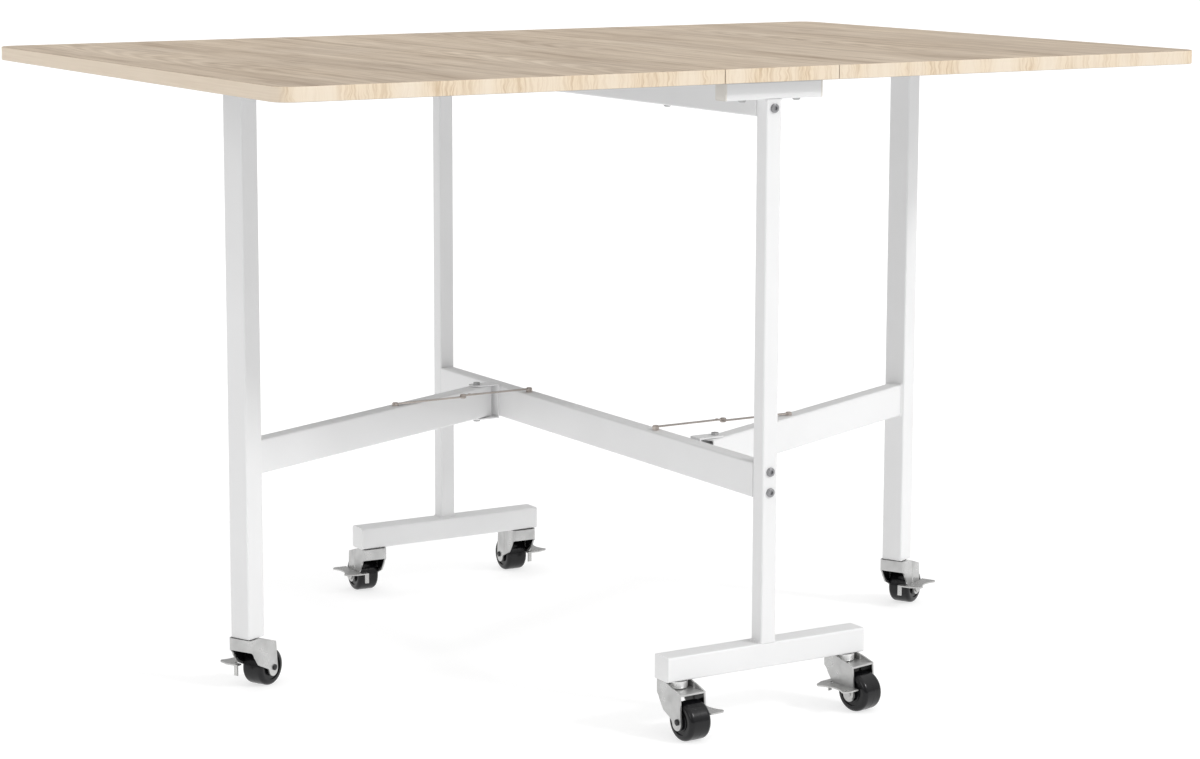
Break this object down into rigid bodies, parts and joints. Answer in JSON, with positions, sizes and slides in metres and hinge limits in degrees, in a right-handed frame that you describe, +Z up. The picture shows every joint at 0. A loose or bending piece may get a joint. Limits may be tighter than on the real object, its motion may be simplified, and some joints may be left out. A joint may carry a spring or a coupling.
{
  "type": "extending dining table",
  "caption": "Drop-leaf dining table that widens on swinging gate legs: oak-look board leaves on a white tube frame with folding stays and braked swivel casters.",
  "frame": {"origin": "on the floor, under the middle of the open top", "axes": "+X along the long side of the open top, towards the right leaf; -Y is the front; +Z up"},
  "size_m": [1.2, 0.8414, 0.735],
  "materials": {
    "oak_board": "satin light oak laminate",
    "white_coat": "white powder coat",
    "white_plug": "white moulded",
    "pale_plastic": "pale moulded",
    "cast_block": "cast",
    "dark_bolt": "dark steel",
    "zinc_hinge": "zinc plated",
    "steel_fastener": "zinc plated",
    "nickel_stay": "nickel plated",
    "polished_cup": "polished",
    "zinc_fork": "bright zinc plated",
    "zinc_brake": "bright zinc plated",
    "black_wheel": "satin black moulded"
  },
  "bodies": {
    "frame": {"centre_top": "oak_board", "front_post": "white_coat", "rear_post": "white_coat", "front_foot": "white_coat", "rear_foot": "white_coat", "front_bearer": "white_coat", "rear_bearer": "white_coat", "apron_rail": "white_coat", "stretcher_rail": "white_coat", "foot_end_plugs": "white_plug", "bearer_end_plugs": "pale_plastic", "rail_end_blocks": "cast_block", "frame_bolts": "dark_bolt", "top_screws": "steel_fastener", "hinge_fixed_plates": "zinc_hinge", "hinge_pins": "zinc_hinge", "hinge_fixed_screws": "zinc_hinge", "gate_brackets": "white_coat", "gate_pivot_bolts": "steel_fastener", "gate_pivot_nuts": "steel_fastener", "stay_stretcher_pins": "nickel_stay", "foot_caster_stems": "polished_cup"},
    "left_leaf": {"left_leaf": "oak_board", "left_leaf_hinge_plates": "zinc_hinge", "left_leaf_hinge_screws": "zinc_hinge"},
    "right_leaf": {"right_leaf": "oak_board", "right_leaf_hinge_plates": "zinc_hinge", "right_leaf_hinge_screws": "zinc_hinge"},
    "left_gate": {"left_gate_rail": "white_coat", "left_gate_post": "white_coat", "left_gate_end_plugs": "pale_plastic", "left_gate_caster_stem": "polished_cup", "left_stay_rail_pin": "nickel_stay"},
    "right_gate": {"right_gate_rail": "white_coat", "right_gate_post": "white_coat", "right_gate_end_plugs": "pale_plastic", "right_gate_caster_stem": "polished_cup", "right_stay_rail_pin": "nickel_stay"},
    "left_stay_inner_link": {"left_stay_inner_link": "nickel_stay"},
    "left_stay_outer_link": {"left_stay_outer_link": "nickel_stay"},
    "right_stay_inner_link": {"right_stay_inner_link": "nickel_stay"},
    "right_stay_outer_link": {"right_stay_outer_link": "nickel_stay"},
    "front_left_caster_fork": {"front_left_caster_fork": "zinc_fork"},
    "front_left_caster_wheel": {"front_left_caster_wheel": "black_wheel"},
    "front_left_caster_brake": {"front_left_caster_brake": "zinc_brake"},
    "front_right_caster_fork": {"front_right_caster_fork": "zinc_fork"},
    "front_right_caster_wheel": {"front_right_caster_wheel": "black_wheel"},
    "front_right_caster_brake": {"front_right_caster_brake": "zinc_brake"},
    "rear_left_caster_fork": {"rear_left_caster_fork": "zinc_fork"},
    "rear_left_caster_wheel": {"rear_left_caster_wheel": "black_wheel"},
    "rear_left_caster_brake": {"rear_left_caster_brake": "zinc_brake"},
    "rear_right_caster_fork": {"rear_right_caster_fork": "zinc_fork"},
    "rear_right_caster_wheel": {"rear_right_caster_wheel": "black_wheel"},
    "rear_right_caster_brake": {"rear_right_caster_brake": "zinc_brake"},
    "left_gate_caster_fork": {"left_gate_caster_fork": "zinc_fork"},
    "left_gate_caster_wheel": {"left_gate_caster_wheel": "black_wheel"},
    "left_gate_caster_brake": {"left_gate_caster_brake": "zinc_brake"},
    "right_gate_caster_fork": {"right_gate_caster_fork": "zinc_fork"},
    "right_gate_caster_wheel": {"right_gate_caster_wheel": "black_wheel"},
    "right_gate_caster_brake": {"right_gate_caster_brake": "zinc_brake"}
  },
  "joints": [
    {"name": "left_leaf_lift", "type": "hinge", "parent": "frame", "child": "left_leaf", "pos_m": [-0.075, 0, 0.7163], "axis": [0, 1, 0], "range_deg": [0, 2.5]},
    {"name": "right_leaf_lift", "type": "hinge", "parent": "frame", "child": "right_leaf", "pos_m": [0.075, 0, 0.7163], "axis": [0, -1, 0], "range_deg": [0, 2.5]},
    {"name": "left_gate_swing", "type": "hinge", "parent": "frame", "child": "left_gate", "pos_m": [-0.0375, 0.218, 0.274], "axis": [0, 0, 1], "range_deg": [0, 65.6]},
    {"name": "right_gate_swing", "type": "hinge", "parent": "frame", "child": "right_gate", "pos_m": [0.0375, -0.218, 0.274], "axis": [0, 0, 1], "range_deg": [0, 65.6]},
    {"name": "left_stay_inner_fold", "type": "hinge", "parent": "frame", "child": "left_stay_inner_link", "pos_m": [0, 0.1486, 0.298], "axis": [0, 0, 1], "range_deg": [0, 125.7]},
    {"name": "left_stay_outer_fold", "type": "hinge", "parent": "left_gate", "child": "left_stay_outer_link", "pos_m": [-0.19049, 0.1486, 0.2965], "axis": [0, 0, 1], "range_deg": [-52.9, 0]},
    {"name": "right_stay_inner_fold", "type": "hinge", "parent": "frame", "child": "right_stay_inner_link", "pos_m": [0, -0.1486, 0.298], "axis": [0, 0, 1], "range_deg": [0, 125.7]},
    {"name": "right_stay_outer_fold", "type": "hinge", "parent": "right_gate", "child": "right_stay_outer_link", "pos_m": [0.19049, -0.1486, 0.2965], "axis": [0, 0, 1], "range_deg": [-52.9, 0]},
    {"name": "front_left_swivel", "type": "hinge", "parent": "frame", "child": "front_left_caster_fork", "pos_m": [-0.1135, -0.371, 0.052], "axis": [0, 0, 1], "continuous": true},
    {"name": "front_left_roll", "type": "hinge", "parent": "front_left_caster_fork", "child": "front_left_caster_wheel", "pos_m": [-0.11209, -0.39796, 0.022], "axis": [0.9986, 0.0523, 0], "continuous": true},
    {"name": "front_left_brake_press", "type": "hinge", "parent": "front_left_caster_fork", "child": "front_left_caster_brake", "pos_m": [-0.09341, -0.39698, 0.022], "axis": [-0.9986, -0.0523, 0], "range_deg": [0, 10]},
    {"name": "front_right_swivel", "type": "hinge", "parent": "frame", "child": "front_right_caster_fork", "pos_m": [0.1135, -0.371, 0.052], "axis": [0, 0, 1], "continuous": true},
    {"name": "front_right_roll", "type": "hinge", "parent": "front_right_caster_fork", "child": "front_right_caster_wheel", "pos_m": [0.11865, -0.3975, 0.022], "axis": [0.9816, 0.1908, 0], "continuous": true},
    {"name": "front_right_brake_press", "type": "hinge", "parent": "front_right_caster_fork", "child": "front_right_caster_brake", "pos_m": [0.1003, -0.40107, 0.022], "axis": [-0.9816, -0.1908, 0], "range_deg": [0, 10]},
    {"name": "rear_left_swivel", "type": "hinge", "parent": "frame", "child": "rear_left_caster_fork", "pos_m": [-0.1135, 0.371, 0.052], "axis": [0, 0, 1], "continuous": true},
    {"name": "rear_left_roll", "type": "hinge", "parent": "rear_left_caster_fork", "child": "rear_left_caster_wheel", "pos_m": [-0.11209, 0.39796, 0.022], "axis": [-0.9986, 0.0523, 0], "continuous": true},
    {"name": "rear_left_brake_press", "type": "hinge", "parent": "rear_left_caster_fork", "child": "rear_left_caster_brake", "pos_m": [-0.13076, 0.39894, 0.022], "axis": [0.9986, -0.0523, 0], "range_deg": [0, 10]},
    {"name": "rear_right_swivel", "type": "hinge", "parent": "frame", "child": "rear_right_caster_fork", "pos_m": [0.1135, 0.371, 0.052], "axis": [0, 0, 1], "continuous": true},
    {"name": "rear_right_roll", "type": "hinge", "parent": "rear_right_caster_fork", "child": "rear_right_caster_wheel", "pos_m": [0.11491, 0.39796, 0.022], "axis": [-0.9986, 0.0523, 0], "continuous": true},
    {"name": "rear_right_brake_press", "type": "hinge", "parent": "rear_right_caster_fork", "child": "rear_right_caster_brake", "pos_m": [0.13359, 0.39698, 0.022], "axis": [0.9986, -0.0523, 0], "range_deg": [0, 10]},
    {"name": "left_gate_swivel", "type": "hinge", "parent": "left_gate", "child": "left_gate_caster_fork", "pos_m": [-0.44594, 0.03272, 0.052], "axis": [0, 0, 1], "continuous": true},
    {"name": "left_gate_roll", "type": "hinge", "parent": "left_gate_caster_fork", "child": "left_gate_caster_wheel", "pos_m": [-0.42197, 0.04515, 0.022], "axis": [-0.4602, 0.8878, 0], "continuous": true},
    {"name": "left_gate_brake_press", "type": "hinge", "parent": "left_gate_caster_fork", "child": "left_gate_caster_brake", "pos_m": [-0.43058, 0.06175, 0.022], "axis": [0.4602, -0.8878, 0], "range_deg": [0, 10]},
    {"name": "right_gate_swivel", "type": "hinge", "parent": "right_gate", "child": "right_gate_caster_fork", "pos_m": [0.44594, -0.03272, 0.052], "axis": [0, 0, 1], "continuous": true},
    {"name": "right_gate_roll", "type": "hinge", "parent": "right_gate_caster_fork", "child": "right_gate_caster_wheel", "pos_m": [0.46991, -0.0203, 0.022], "axis": [-0.4602, 0.8878, 0], "continuous": true},
    {"name": "right_gate_brake_press", "type": "hinge", "parent": "right_gate_caster_fork", "child": "right_gate_caster_brake", "pos_m": [0.47852, -0.0369, 0.022], "axis": [0.4602, -0.8878, 0], "range_deg": [0, 10]}
  ],
  "couplings": [
    {"joint": "left_stay_inner_fold", "follows": "left_gate_swing", "ratio": 1.9139},
    {"joint": "left_stay_outer_fold", "follows": "left_gate_swing", "ratio": -0.80485},
    {"joint": "right_stay_inner_fold", "follows": "right_gate_swing", "ratio": 1.9139},
    {"joint": "right_stay_outer_fold", "follows": "right_gate_swing", "ratio": -0.80485}
  ]
}
